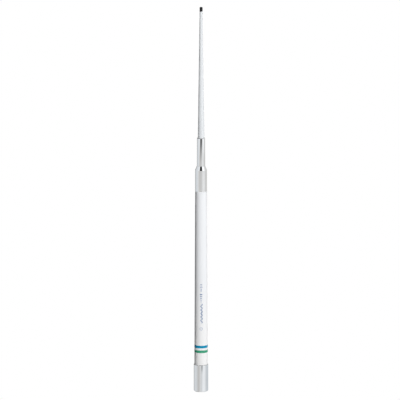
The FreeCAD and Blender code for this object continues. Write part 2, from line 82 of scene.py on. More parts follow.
BODY_OF = {node: body for body, nodes in frame["record"]["behaviour"]["bodies"].items() for node in nodes}
SLOT_OF = {entry["node"]: entry["material_slot"] for entry in frame["record"]["subparts"]}


# ---------------------------------------------------------------- camera

CAMERA_ELEVATION = math.radians(12.0)
CAMERA_DISTANCE = 15.0
FRAME_HEIGHT_AT_OBJECT = 1.0449
AIM_HEIGHT = 0.5124
AIM_SIDE = -0.0029
SENSOR = 36.0


def make_camera():
    """Long lens, a little above the antenna, looking along +Y."""
    data = bpy.data.cameras.new("camera")
    data.sensor_width = SENSOR
    data.lens = SENSOR * CAMERA_DISTANCE / FRAME_HEIGHT_AT_OBJECT
    data.clip_start = 0.1
    data.clip_end = 100.0
    camera = bpy.data.objects.new("camera", data)
    bpy.context.scene.collection.objects.link(camera)
    back = Vector((0, -math.cos(CAMERA_ELEVATION), math.sin(CAMERA_ELEVATION)))
    camera.location = Vector((AIM_SIDE, 0, AIM_HEIGHT)) + back * CAMERA_DISTANCE
    camera.rotation_mode = "QUATERNION"
    camera.rotation_quaternion = (-back).to_track_quat("-Z", "Y")
    bpy.context.scene.camera = camera


# ---------------------------------------------------------------- materials

class Nodes:
    """A material's node tree, with short ways of adding to it."""

    def __init__(self, name):
        self.material = bpy.data.materials.new(name)
        self.material.use_nodes = True
        self.tree = self.material.node_tree

    def node(self, kind, **values):
        """Adds a node; values go to its properties or its input sockets."""
        made = self.tree.nodes.new(kind)
        for key, value in values.items():
            if hasattr(made, key):
                setattr(made, key, value)
            else:
                made.inputs[key.replace("_", " ")].default_value = value
        return made

    def link(self, source, target):
        self.tree.links.new(source, target)

    def spread(self, factor, low, high, start=0.3, end=0.7, shape="LINEAR"):
        """Maps a factor between start and end to the range from low to high."""
        made = self.node("ShaderNodeMapRange", interpolation_type=shape,
                         From_Min=start, From_Max=end, To_Min=low, To_Max=high)
        self.link(factor, made.inputs["Value"])
        return made.outputs["Result"]

    def arithmetic(self, operation, first, second):
        """One sum of two numbers, each a socket or a plain number."""
        made = self.node("ShaderNodeMath", operation=operation)
        for socket, value in zip(made.inputs, (first, second)):
            if isinstance(value, (int, float)):
                socket.default_value = value
            else:
                self.link(value, socket)
        return made.outputs["Value"]

    def multiply(self, first, second):
        return self.arithmetic("MULTIPLY", first, second)

    def mixed(self, share, first, second):
        """The first colour, turning into the second as the share rises from 0 to 1."""
        made = self.node("ShaderNodeMix", data_type="RGBA")
        self.link(share, made.inputs["Factor"])
        self.link(first, made.inputs["A"])
        self.link(second, made.inputs["B"])
        return made.outputs["Result"]

    def height_of(self, place):
        split = self.node("ShaderNodeSeparateXYZ")
        self.link(place, split.inputs["Vector"])
        return split.outputs["Z"]


class Surface(Nodes):
    """A procedural material around one Principled shader."""

    def __init__(self, name, **sockets):
        super().__init__(name)
        self.shader = self.tree.nodes["Principled BSDF"]
        for socket, value in sockets.items():
            self.shader.inputs[socket.replace("_", " ")].default_value = value
        self.place = self.node("ShaderNodeTexCoord").outputs["Object"]

    def noise(self, scale, stretch=(1, 1, 1), detail=3.0, roughness=0.55):
        """Noise over the object's own coordinates; scale is in cycles a metre."""
        mapping = self.node("ShaderNodeMapping", Scale=stretch)
        self.link(self.place, mapping.inputs["Vector"])
        noise = self.node("ShaderNodeTexNoise", Scale=scale, Detail=detail, Roughness=roughness)
        self.link(mapping.outputs["Vector"], noise.inputs["Vector"])
        return noise.outputs["Fac"]

    def blend(self, factor, dark, light, start=0.3, end=0.7):
        """Colour ramp between two colours, driven by a factor."""
        ramp = self.node("ShaderNodeValToRGB")
        ramp.color_ramp.elements[0].position = start
        ramp.color_ramp.elements[0].color = (*dark, 1)
        ramp.color_ramp.elements[1].position = end
        ramp.color_ramp.elements[1].color = (*light, 1)
        self.link(factor, ramp.inputs["Fac"])
        return ramp.outputs["Color"]

    def colour(self, source):
        self.link(source, self.shader.inputs["Base Color"])

    def rough(self, source):
        self.link(source, self.shader.inputs["Roughness"])

    def bump(self, height, distance, strength=1.0):
        """Adds a bump of the given depth in metres, on top of any there already."""
        made = self.node("ShaderNodeBump", Strength=strength, Distance=distance)
        self.link(height, made.inputs["Height"])
        normal = self.shader.inputs["Normal"]
        if normal.is_linked:
            self.link(normal.links[0].from_socket, made.inputs["Normal"])
        self.link(made.outputs["Normal"], normal)


def tinted(colour, share):
    """The colour scaled by a share."""
    return tuple(min(1.0, c * share) for c in colour)


def plated(name, colour, low, high, marks):
    """Bright plating on turned metal: fine turning rings, faint rub marks and handling haze."""
    surface = Surface(name, Metallic=1.0, IOR=1.5)
    rings = surface.noise(1.0, stretch=(4, 4, 5200), detail=2.0)
    rubs = surface.noise(900, stretch=(1, 1, 0.08), detail=4.0)
    haze = surface.noise(45)
    surface.colour(surface.blend(haze, tinted(colour, 0.965), tinted(colour, 1.02)))
    surface.rough(surface.spread(surface.multiply(rubs, haze), low, high, start=0.12, end=0.45))
    surface.bump(rings, 1.2 * MICRON * marks)
    surface.bump(rubs, 0.8 * MICRON * marks)
    return surface


# Heights between which the painted warm light at the tube's foot fades, from full at the bottom to none at
# the top.
PAINTED_FOOT_LIGHT_TOP = 0.3
PAINTED_FOOT_LIGHT_BOTTOM = 0.09


def glass_fibre(name, colour, foot=None):
    """Gloss polyurethane over wound glass fibre: faint orange peel, fainter fibre lay, slight colour drift.

    The paint may turn to a warmer colour towards the foot, which is painted warm light near the foot.
    """
    surface = Surface(name, Specular_IOR_Level=0.28, Coat_Weight=0.06, Coat_Roughness=0.1)
    drift = surface.noise(14, stretch=(1, 1, 0.35), detail=2.0)
    peel = surface.noise(700, detail=2.0)
    lay = surface.noise(420, stretch=(1, 1, 0.12))
    paint = surface.blend(drift, tinted(colour, 0.985), tinted(colour, 1.01))
    # Painted warm light: towards the foot, the white turns to the foot colour.
    if foot:
        foot_light_paint = surface.blend(drift, tinted(foot, 0.985), tinted(foot, 1.01))
        height = surface.height_of(surface.place)
        own_paint_share = surface.spread(height, 0.0, 1.0, start=PAINTED_FOOT_LIGHT_BOTTOM, end=PAINTED_FOOT_LIGHT_TOP)
        paint = surface.mixed(own_paint_share, foot_light_paint, paint)
    surface.colour(paint)
    surface.rough(surface.spread(lay, 0.26, 0.36))
    surface.bump(peel, 4 * MICRON)
    surface.bump(lay, 3 * MICRON)
    return surface


def film(name, colour):
    """Gloss coloured film with a slightly mottled ink layer."""
    surface = Surface(name, Specular_IOR_Level=0.12)
    mottle = surface.noise(260, detail=4.0)
    surface.colour(surface.blend(mottle, tinted(colour, 0.9), tinted(colour, 1.08)))
    surface.rough(surface.spread(mottle, 0.3, 0.45))
    surface.bump(surface.noise(900, detail=2.0), 4 * MICRON)
    return surface


def moulded(name, colour, low, high, grain=2600, depth=20 * MICRON, sheen=0.0, specular=0.4):
    """Moulded or extruded plastic and rubber: fine grain, and gloss in patches of low to high roughness."""
    surface = Surface(name, Specular_IOR_Level=specular, Sheen_Weight=sheen)
    patches = surface.noise(120)
    fine = surface.noise(grain)
    surface.colour(surface.blend(patches, tinted(colour, 0.88), tinted(colour, 1.12)))
    surface.rough(surface.spread(patches, low, high))
    surface.bump(fine, depth)
    return surface


def bare_metal(name, colour, tarnish):
    """Drawn metal: lengthways draw marks and patches of tarnish."""
    surface = Surface(name, Metallic=1.0)
    draw = surface.noise(1500, stretch=(1, 1, 0.05))
    patches = surface.noise(60, detail=5.0, roughness=0.65)
    surface.colour(surface.blend(patches, tarnish, colour, start=0.35, end=0.6))
    surface.rough(surface.spread(draw, 0.22, 0.42))
    surface.bump(draw, 4 * MICRON)
    return surface


def braided(name, colour):
    """Woven wire braid: two crossing sets of bands round the cable, with painted shade in the hollows between
    the strands.
    """
    surface = Surface(name, Metallic=1.0)
    heights = []
    for lean in (1, -1):
        mapping = surface.node("ShaderNodeMapping", Rotation=(0, lean * 0.6, 0))
        surface.link(surface.place, mapping.inputs["Vector"])
        wave = surface.node("ShaderNodeTexWave", Scale=420, Distortion=0.4)
        surface.link(mapping.outputs["Vector"], wave.inputs["Vector"])
        heights.append(wave.outputs["Fac"])
    weave = surface.multiply(*heights)
    # Painted shade: darker where the weave is low, between the strands.
    surface.colour(surface.blend(weave, tinted(colour, 0.45), colour, start=0.0, end=0.5))
    surface.rough(surface.spread(weave, 0.5, 0.3, start=0.0, end=0.6))
    surface.bump(weave, 0.12 * MM)
    return surface


def foam(name, colour):
    """Closed-cell foam with visible cells, and painted shade in the hollow of each cell."""
    surface = Surface(name, Roughness=0.9, Specular_IOR_Level=0.2)
    cells = surface.node("ShaderNodeTexVoronoi", Scale=1400.0)
    surface.link(surface.place, cells.inputs["Vector"])
    # Painted shade: darker towards the middle of each cell, where the bump is lowest.
    surface.colour(surface.blend(cells.outputs["Distance"], tinted(colour, 0.8), colour, start=0.0, end=0.6))
    surface.bump(cells.outputs["Distance"], 0.2 * MM)
    return surface


MATERIALS = {
    "plated_ferrule": plated("chrome plate", (0.612, 0.620, 0.625), 0.05, 0.16, marks=1.0),
    "nickel_plated_brass": plated("nickel plate", (0.66, 0.62, 0.55), 0.12, 0.28, marks=2.0),
    "silver_plated_brass": plated("silver plate", (0.84, 0.82, 0.78), 0.14, 0.3, marks=2.0),
    # The foot colour is painted warm light near the base.
    "white_glass_fibre":
        glass_fibre("white gloss glass fibre", (0.797, 0.81, 0.83), foot=(0.815, 0.81, 0.807)),
    "green_band": film("green film", (0.042, 0.305, 0.175)),
    "blue_band": film("blue film", (0.004, 0.250, 0.430)),
    "grey_sealant": moulded("grey sealant", (0.19, 0.19, 0.195), 0.4, 0.6, grain=900, depth=40 * MICRON),
    "black_rubber": moulded("black rubber", (0.02, 0.02, 0.02), 0.55, 0.75, grain=3000, sheen=0.1),
    "black_moulding": moulded("black moulding", (0.006, 0.006, 0.007), 0.45, 0.6, specular=0.2),
    "black_pvc": moulded("black PVC", (0.018, 0.018, 0.019), 0.3, 0.45, grain=500, depth=30 * MICRON),
    "black_shrink_sleeve":
        moulded("black shrink sleeve", (0.015, 0.015, 0.016), 0.4, 0.55, grain=300, depth=80 * MICRON),
    "ferrite": moulded("ferrite", (0.05, 0.05, 0.053), 0.6, 0.8, grain=1800, depth=40 * MICRON),
    "ptfe": moulded("fluoropolymer", (0.80, 0.80, 0.77), 0.35, 0.5, grain=700, depth=10 * MICRON),
    "polyethylene": moulded("polyethylene", (0.76, 0.77, 0.75), 0.3, 0.42, grain=600, depth=10 * MICRON),
    "bare_copper": bare_metal("copper", (0.86, 0.46, 0.30), tarnish=(0.45, 0.20, 0.12)),
    "bare_brass": bare_metal("brass", (0.80, 0.60, 0.30), tarnish=(0.46, 0.32, 0.15)),
    "tinned_copper": braided("tinned copper braid", (0.70, 0.69, 0.67)),
    "foam": foam("foam", (0.78, 0.78, 0.76)),
}
# A darker copy of the tube's white, as painted shade: the whip gets less light near the top.
SHADED_WHIP_WHITE = glass_fibre("whip white with painted shade", (0.700, 0.722, 0.742))
INK = film("grey-blue ink", (0.075, 0.155, 0.330))


def finish_of(piece, slot):
    """Gives a piece the material of a slot."""
    piece.data.materials.clear()
    piece.data.materials.append(MATERIALS[slot].material)


def dress_cad_nodes():
    """Every CAD node takes the material of its own slot."""
    for node, slot in SLOT_OF.items():
        finish_of(frame["nodes"][node], slot)


def stand_in(piece, node):
    """The piece takes a CAD node's place, body and finish."""
    finish_of(piece, SLOT_OF[node])
    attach(piece, BODY_OF[node])
    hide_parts(node)


# ---------------------------------------------------------------- ways of making a piece

SEGMENTS = 144
WHIP_SEGMENTS = 112
SMALL_SEGMENTS = 96
ROWS_PER_TURN = 10
SHARP_ANGLE = math.radians(32)
EDGE = 0.12 * MM
GLUE = 0.05 * MM
SLIP = 0.02 * MM
SOFTEN_FROM = math.radians(20)
SOFTEN_SHARE = 0.4

# Share of a thread's pitch that is flat at its crest, and again at its root.
THREAD_FLAT = 3 / 26

# Least distance from a thread's first or last row to the end of its wall, in rows.
ROW_MARGIN = 0.75


class Thread:
    """Right-hand helical thread cut into a wall at its major radius, fading out at both ends.

    A nut's ridge and a screw's groove of the same pitch lie at the same place, so they mesh.
    """

    def __init__(self, major, pitch, depth, low, high):
        self.major, self.pitch, self.depth, self.low, self.high = major, pitch, depth, low, high

    def radius(self, height, angle):
        turn = (height / self.pitch - angle / TAU) % 1.0
        slope = (1 - abs(turn - 0.5) * 2 - THREAD_FLAT) / (1 - 2 * THREAD_FLAT)
        wave = min(1.0, max(0.0, slope))
        return self.major - max(0.0, min(self.depth * wave, height - self.low, self.high - height))

    def rows(self, start, end):
        """Heights of the rows of corners on the way from start to end, clear of both."""
        step = self.pitch / ROWS_PER_TURN
        low, high = sorted((start, end))
        first, last = math.ceil(low / step + ROW_MARGIN), math.floor(high / step - ROW_MARGIN)
        heights = [k * step for k in range(first, last + 1)]
        return heights if start < end else heights[::-1]

    def rise(self, angle):
        """How far a row has climbed at an angle.

        A row runs along the ridge for a while, then drops back, and the next row takes its place.
        """
        return (angle / TAU * ROWS_PER_TURN % 1.0 - 0.5) * self.pitch / ROWS_PER_TURN


def arc(centre_radius, centre_height, radius, start, end, steps=6):
    """Corners along an arc of an outline, angles in degrees from straight outwards."""
    angles = [math.radians(start + (end - start) * k / steps) for k in range(steps + 1)]
    return [(centre_radius + radius * math.cos(a), centre_height + radius * math.sin(a)) for a in angles]


def softened(corners, radius, steps=3):
    """Rounds an outline's sharp corners a little, but for those on the axis and at the ends of a thread."""
    soft = []
    for before, corner, after in zip(corners[-1:] + corners[:-1], corners, corners[1:] + corners[:1]):
        here = Vector(corner[:2])
        back, ahead = Vector(before[:2]) - here, Vector(after[:2]) - here
        if here.x == 0 or len(corner) > 2 or len(before) > 2 or back.angle(-ahead) < SOFTEN_FROM:
            soft.append(corner)
            continue
        start = here + back.normalized() * min(radius, back.length * SOFTEN_SHARE)
        end = here + ahead.normalized() * min(radius, ahead.length * SOFTEN_SHARE)
        for k in range(steps + 1):
            t = k / steps
            soft.append(tuple(start * (1 - t) ** 2 + here * 2 * t * (1 - t) + end * t ** 2))
    return soft


def surface_object(name, mesh):
    """Makes an object from a bmesh, smooth but for its real edges."""
    bmesh.ops.recalc_face_normals(mesh, faces=mesh.faces)
    data = bpy.data.meshes.new(name)
    mesh.to_mesh(data)
    mesh.free()
    data.shade_smooth()
    data.set_sharp_from_angle(angle=SHARP_ANGLE)
    made = bpy.data.objects.new(name, data)
    bpy.context.scene.collection.objects.link(made)
    return made


def flat_faces_first(piece):
    """Shades large faces as flat as they are, so that only the small edge faces between them look round."""
    modifier = piece.modifiers.new("edge shading", "WEIGHTED_NORMAL")
    modifier.keep_sharp = True


def unevenness(angle):
    """An uneven wave round a circle, between 0 and 1."""
    return 0.5 + 0.2 * math.sin(3 * angle + 1) + 0.3 * math.sin(7 * angle) * math.cos(11 * angle)


def level_faces(*corners):
    """The face between four corners of two rings, or two halves of it where the rings climb along a thread.

    The halves share the flatter diagonal, which is the one that follows the ridge.
    """
    a, b, c, d = corners
    if a.co.z == b.co.z and c.co.z == d.co.z:
        face = list(dict.fromkeys(corners))
        return [face] if len(face) > 2 else []
    if abs(a.co.z - c.co.z) < abs(b.co.z - d.co.z):
        return [(a, b, c), (a, c, d)]
    return [(a, b, d), (b, c, d)]


def turned(name, corners, edge=EDGE, segments=SEGMENTS, ripple=0.0):
    """Closed surface turned about Z. A corner is (radius, height), and a Thread if the wall after it has one.

    Ripple pulls the surface in by up to that much, unevenly, as on a bead laid by hand.
    """
    mesh = bmesh.new()
    outline = [(*corner, None)[:3] for corner in softened(corners, edge)]
    angles = [TAU * i / segments for i in range(segments)]
    rings = []
    for (radius, foot, thread), (next_radius, head, _) in zip(outline, outline[1:] + outline[:1]):
        if radius == 0:
            rings.append([mesh.verts.new((0, 0, foot))] * segments)
            continue
        for row in [foot] + (thread.rows(foot, head) if thread else []):
            ring = []
            for angle in angles:
                reach, height = radius, row
                if thread:
                    height += thread.rise(angle) if row != foot else 0.0
                    wall = radius + (next_radius - radius) * (height - foot) / (head - foot)
                    reach = min(wall, thread.radius(height, angle))
                reach -= ripple * unevenness(angle)
                ring.append(mesh.verts.new((reach * math.cos(angle), reach * math.sin(angle), height)))
            rings.append(ring)
    for ring, following in zip(rings, rings[1:] + rings[:1]):
        for i in range(segments):
            j = (i + 1) % segments
            for face in level_faces(ring[i], ring[j], following[j], following[i]):
                mesh.faces.new(face)
    piece = surface_object(name, mesh)
    flat_faces_first(piece)
    return piece


def box_between(low, high):
    """Plain block used only to cut other pieces."""
    mesh = bmesh.new()
    bmesh.ops.create_cube(mesh)
    low, high = Vector(low), Vector(high)
    for vertex in mesh.verts:
        vertex.co = (low + high) / 2 + Vector(a * b for a, b in zip(vertex.co, high - low))
    return surface_object("cutter", mesh)


def cut_away(piece, cutters):
    """Takes the cutters out of a piece and throws them away."""
    for cutter in cutters:
        modifier = piece.modifiers.new("cut", "BOOLEAN")
        modifier.operation = "DIFFERENCE"
        modifier.solver = "EXACT"
        modifier.object = cutter
    result = bpy.data.meshes.new_from_object(piece.evaluated_get(bpy.context.evaluated_depsgraph_get()))
    piece.modifiers.clear()
    piece.data = result
    result.set_sharp_from_angle(angle=SHARP_ANGLE)
    flat_faces_first(piece)
    for cutter in cutters:
        bpy.data.objects.remove(cutter)


# ---------------------------------------------------------------- base

INCH = 25.4 * MM
MOUNT_RADIUS = 12.7 * MM
MOUNT_TOP = 24.0 * MM
MOUNT_CHAMFER = 1.0 * MM
MOUNT_PITCH = INCH / 14
MOUNT_THREAD_DEPTH = 0.98 * MM
CHAMBER_RADIUS = 13.2 * MM
WEB_HOLE_RADIUS = 8.05 * MM
FOOT_CHAMFER = 1.5 * MM
COUNTERSINK = 0.8 * MM
BASE_RIM_ROUND = 0.5 * MM
COLLAR_RIM_ROUND = 1.2 * MM
BEAD_RIPPLE = 0.04 * MM
SOCKET_THREAD_RADIUS = 7.94 * MM
SOCKET_THREAD_DEPTH = 0.57 * MM
SOCKET_THREAD_END = 0.6 * MM
SOCKET_PITCH = INCH / 24
SOCKET_FRONT_LENGTH = 11.0 * MM
SOCKET_BORE = 6.4 * MM
SOCKET_REAR_BORE = 3.2 * MM
SOCKET_BACK_WALL = 4.0 * MM
BARREL_RADIUS = 2.0 * MM
BARREL_BORE = 1.525 * MM
BARREL_LENGTH = 7.0 * MM
CONTACT_ROUND = 0.25 * MM
CONTACT_EDGE = 0.05 * MM
CONTACT_TAIL = 1.1 * MM
CONTACT_LENGTH = 13.0 * MM
CONTACT_BORE = 2.0 * MM
CONTACT_BORE_DEPTH = 11.5 * MM
CONTACT_SLOT = 0.4 * MM
CONTACT_SLOT_DEPTH = 7.0 * MM
CUTTER_REACH = 1.5


def base_ferrule():
    """Base ferrule with its 1 inch, 14 threads an inch, mount thread."""
    outer, top = radius_of("base_ferrule"), top_of("base_ferrule")
    cup = radius_of("lower_tube") + GLUE
    web_top, web_bottom = bottom_of("lower_tube"), top_of("socket_gasket")
    thread = Thread(MOUNT_RADIUS, MOUNT_PITCH, MOUNT_THREAD_DEPTH, MOUNT_CHAMFER, MOUNT_TOP)
    piece = turned("base_ferrule_threaded", [
        (MOUNT_RADIUS + MOUNT_CHAMFER, 0),
        (outer - FOOT_CHAMFER, 0),
        (outer, FOOT_CHAMFER),
        *arc(outer - BASE_RIM_ROUND, top - BASE_RIM_ROUND, BASE_RIM_ROUND, 0, 90),
        (cup + COUNTERSINK, top),
        (cup, top - COUNTERSINK),
        (cup, web_top),
        (WEB_HOLE_RADIUS, web_top),
        (WEB_HOLE_RADIUS, web_bottom),
        (CHAMBER_RADIUS, web_bottom),
        (CHAMBER_RADIUS, MOUNT_TOP),
        (MOUNT_RADIUS, MOUNT_TOP, thread),
        (MOUNT_RADIUS, MOUNT_CHAMFER),
    ])
    stand_in(piece, "base_ferrule")


def seal_bead(node, tube):
    """Bead of sealant in the countersink between a ferrule and its tube, tooled by hand into a soft dome."""
    bottom, top, outer = bottom_of(node), top_of(node), radius_of(node)
    inner = tube + GLUE
    width = outer - inner
    rise = top - bottom - width
    angles = [math.radians(angle) for angle in range(0, 91, 15)]
    dome = [(inner + width * math.cos(angle), bottom + width + rise * math.sin(angle)) for angle in angles]
    piece = turned(f"{node}_tooled", [(inner, bottom), *dome], ripple=BEAD_RIPPLE)
    stand_in(piece, node)


def socket_rear():
    """Height of the coaxial socket's back face."""
    return top_of("coax_socket_contact") + 2 * SLIP


def coax_socket_shell():
    """Bulkhead socket with 5/8 inch, 24 threads an inch, a flange and a crimp barrel."""
    bottom, top, rear = bottom_of("coax_socket_shell"), top_of("coax_socket_shell"), socket_rear()
    flange, flange_bottom = radius_of("coax_socket_shell"), bottom + SOCKET_FRONT_LENGTH
    flange_top = bottom_of("socket_gasket")
    front = Thread(SOCKET_THREAD_RADIUS, SOCKET_PITCH, SOCKET_THREAD_DEPTH,
                   bottom + SOCKET_THREAD_END, flange_bottom - SOCKET_THREAD_END)
    back = Thread(SOCKET_THREAD_RADIUS, SOCKET_PITCH, SOCKET_THREAD_DEPTH,
                  flange_top + SOCKET_THREAD_END, rear - BASE_RIM_ROUND)
    piece = turned("coax_socket_shell_threaded", [
        (SOCKET_BORE, bottom),
        (SOCKET_THREAD_RADIUS - BASE_RIM_ROUND, bottom),
        (SOCKET_THREAD_RADIUS, bottom + BASE_RIM_ROUND, front),
        (SOCKET_THREAD_RADIUS, flange_bottom),
        (flange, flange_bottom),
        (flange, flange_top),
        (SOCKET_THREAD_RADIUS, flange_top, back),
        (SOCKET_THREAD_RADIUS, rear - BASE_RIM_ROUND),
        (SOCKET_THREAD_RADIUS - BASE_RIM_ROUND, rear),
        (BARREL_RADIUS, top - BARREL_LENGTH),
        (BARREL_RADIUS, top),
        (BARREL_BORE, top),
        (BARREL_BORE, rear),
        (SOCKET_REAR_BORE, rear),
        (SOCKET_REAR_BORE, rear - SOCKET_BACK_WALL),
        (SOCKET_BORE, rear - SOCKET_BACK_WALL),
    ])
    stand_in(piece, "coax_socket_shell")


def coax_socket_insulator():
    """Stepped insulator round the socket's contact."""
    bottom, end = bottom_of("coax_socket_insulator"), top_of("coax_socket_insulator")
    outer, step = radius_of("coax_socket_insulator"), socket_rear() - SOCKET_BACK_WALL - SLIP
    head = radius_of("coax_socket_contact") + SLIP
    head_end = bottom_of("coax_socket_contact") + CONTACT_LENGTH + SLIP
    piece = turned("coax_socket_insulator_turned", [
        (head, bottom),
        (outer, bottom),
        (outer, step),
        (SOCKET_REAR_BORE - SLIP, step),
        (SOCKET_REAR_BORE - SLIP, end),
        (CONTACT_TAIL + SLIP, end),
        (CONTACT_TAIL + SLIP, head_end),
        (head, head_end),
    ])
    stand_in(piece, "coax_socket_insulator")


def coax_socket_contact():
    """Centre contact, slotted crosswise to grip the plug's pin, with a cup for the cable's conductor."""
    head = radius_of("coax_socket_contact")
    bottom, end = bottom_of("coax_socket_contact"), top_of("coax_socket_contact")
    cup, cup_bottom = radius_of("cable_conductor") + SLIP, bottom_of("cable_conductor") - SLIP
    piece = turned("coax_socket_contact_slotted", [
        (CONTACT_BORE, bottom),
        (head - CONTACT_ROUND, bottom),
        (head, bottom + CONTACT_ROUND),
        (head, bottom + CONTACT_LENGTH),
        (CONTACT_TAIL, bottom + CONTACT_LENGTH),
        (CONTACT_TAIL, end),
        (cup, end),
        (cup, cup_bottom),
        (0, cup_bottom),
        (0, bottom + CONTACT_BORE_DEPTH),
        (CONTACT_BORE, bottom + CONTACT_BORE_DEPTH),
    ], edge=CONTACT_EDGE, segments=SMALL_SEGMENTS)
    low, high = bottom - MM, bottom + CONTACT_SLOT_DEPTH
    half, reach = CONTACT_SLOT / 2, head * CUTTER_REACH
    cut_away(piece, [
        box_between((-half, -reach, low), (half, reach, high)),
        box_between((-reach, -half, low), (reach, half, high)),
    ])
    stand_in(piece, "coax_socket_contact")


# ---------------------------------------------------------------- lower tube

TUBE_FOOT_BORE = 14.6 * MM
TUBE_HEAD_BORE = 12.0 * MM
SPIGOT_RADIUS = 14.0 * MM
TUBE_CHAMFER = 0.8 * MM
BAND_THICKNESS = 0.15 * MM
BAND_EDGE = 0.08 * MM


def tube_radius(height):
    """Outside radius of the lower tube at a height, between its two ferrules."""
    foot, head = radius_of("lower_tube"), radius_of("lower_joint_ferrule")
    low, high = top_of("base_ferrule"), bottom_of("lower_joint_ferrule")
    return foot + (head - foot) * (height - low) / (high - low)


def lower_tube():
    """Tapered glass-fibre tube with its spigot."""
    bottom, top = bottom_of("lower_tube"), top_of("lower_tube")
    foot, shoulder = radius_of("lower_tube"), bottom_of("lower_joint_ferrule")
    piece = turned("lower_tube_wound", [
        (TUBE_FOOT_BORE, bottom),
        (foot - TUBE_CHAMFER, bottom),
        (foot, bottom + TUBE_CHAMFER),
        (foot, top_of("base_ferrule")),
        (tube_radius(shoulder), shoulder),
        (SPIGOT_RADIUS, shoulder),
        (SPIGOT_RADIUS, top - TUBE_CHAMFER),
        (SPIGOT_RADIUS - TUBE_CHAMFER, top),
        (TUBE_HEAD_BORE, top),
    ])
    stand_in(piece, "lower_tube")


def colour_band(node):
    """Coloured film round the tube, with rolled edges."""
    bottom, top = bottom_of(node), top_of(node)
    foot, head = tube_radius(bottom) + SLIP, tube_radius(top) + SLIP
    piece = turned(f"{node}_film", [
        (foot, bottom),
        (foot + BAND_THICKNESS, bottom + BAND_THICKNESS),
        (head + BAND_THICKNESS, top - BAND_THICKNESS),
        (head, top),
    ], edge=BAND_EDGE)
    stand_in(piece, node)


MARK_INK = 0.03 * MM
MARK_STEP = 0.5 * MM
RING_HEIGHT = 170.5 * MM
RING_RADIUS = 3.4 * MM
RING_STROKE = 0.8 * MM
RING_STEPS = 32
WAVE_FOOT = 186.0 * MM
WAVE_LENGTH = 9.4 * MM
WAVE_SHIFT = 1.3 * MM
WAVE_SWING = 2.2 * MM
WAVE_STROKE = 1.7 * MM
WAVE_COUNT = 5.5
WAVE_STEPS = 16
BAR_COUNT = 5
BAR_FOOT = 243.0 * MM
BAR_SPACING = 5.0 * MM
BAR_HALF = 1.0 * MM
BAR_GROWTH = 0.6 * MM
BAR_STROKE = 1.9 * MM
MAST_FOOT = 270.5 * MM
MAST_TOP = 278.5 * MM
MAST_STROKE = 1.5 * MM
ARC_COUNT = 3
ARC_SPACING = 3.7 * MM
ARC_HALF_WIDTH = 3.2 * MM
ARC_STROKE = 1.0 * MM
ARC_STEPS = 6


def round_line(height, radius, angles):
    """Points on a circle about a height on the tube's front, at angles from straight up."""
    return [(radius * math.sin(angle), height + radius * math.cos(angle)) for angle in angles]


def mark_strokes():
    """Generic printed mark up the tube's front, as strokes of (points, width). A point is (across, height).

    From the foot up it is a ring, a wave, widening bars and a mast that sends out arcs.
    """
    circle = [TAU * k / RING_STEPS for k in range(RING_STEPS + 1)]
    strokes = [(round_line(RING_HEIGHT, RING_RADIUS, circle), RING_STROKE)]
    waves = [k / WAVE_STEPS for k in range(int(WAVE_COUNT * WAVE_STEPS) + 1)]
    wave = [(WAVE_SHIFT + WAVE_SWING * math.sin(TAU * k), WAVE_FOOT + WAVE_LENGTH * k) for k in waves]
    strokes.append((wave, WAVE_STROKE))
    for k in range(BAR_COUNT):
        half, height = BAR_HALF + BAR_GROWTH * k, BAR_FOOT + BAR_SPACING * k
        strokes.append(([(-half, height), (half, height)], BAR_STROKE))
    strokes.append(([(0, MAST_FOOT), (0, MAST_TOP)], MAST_STROKE))
    for k in range(ARC_COUNT):
        radius = ARC_SPACING * (k + 1)
        reach = math.asin(ARC_HALF_WIDTH / radius)
        angles = [reach * (k / ARC_STEPS - 1) for k in range(2 * ARC_STEPS + 1)]
        strokes.append((round_line(MAST_TOP, radius, angles), ARC_STROKE))
    return strokes


def subdivided(points, longest):
    """The same line with no stretch longer than the given length."""
    fine = []
    for start, end in zip(points, points[1:]):
        steps = math.ceil((end - start).length / longest)
        fine += [start.lerp(end, k / steps) for k in range(steps)]
    return fine + points[-1:]


def ink_section(mesh, point, side):
    """Four corners across a stroke at a point, on the tube and an ink layer above it."""
    left, right = point - side, point + side
    section = []
    for (across, height), proud in ((left, 0), (right, 0), (right, MARK_INK), (left, MARK_INK)):
        radius = tube_radius(height) + SLIP / 2 + proud
        angle = across / radius
        section.append(mesh.verts.new((radius * math.sin(angle), -radius * math.cos(angle), height)))
    return section


def ink_stroke(mesh, points, width):
    """A closed strip of ink along a line of points. It joins up where the line ends where it began."""
    points = subdivided([Vector(point) for point in points], MARK_STEP)
    closed = (points[0] - points[-1]).length < SLIP
    if closed:
        points.pop()
    sections = []
    for i, point in enumerate(points):
        before = points[i - 1] if i or closed else point
        after = points[(i + 1) % len(points)] if i + 1 < len(points) or closed else point
        sections.append(ink_section(mesh, point, (after - before).normalized().orthogonal() * width / 2))
    pairs = list(zip(sections, sections[1:] + sections[:1]))
    for first, second in pairs if closed else pairs[:-1]:
        for i in range(4):
            mesh.faces.new((first[i], first[(i + 1) % 4], second[(i + 1) % 4], second[i]))
    if not closed:
        mesh.faces.new(sections[0])
        mesh.faces.new(sections[-1][::-1])


def printed_mark():
    """The mark as thin closed strips of ink that follow the tube's curve, on its front."""
    mesh = bmesh.new()
    for points, width in mark_strokes():
        ink_stroke(mesh, points, width)
    piece = surface_object("printed_mark", mesh)
    piece.data.materials.append(INK.material)
    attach(piece, BODY_OF["lower_tube"])


# ---------------------------------------------------------------- joint

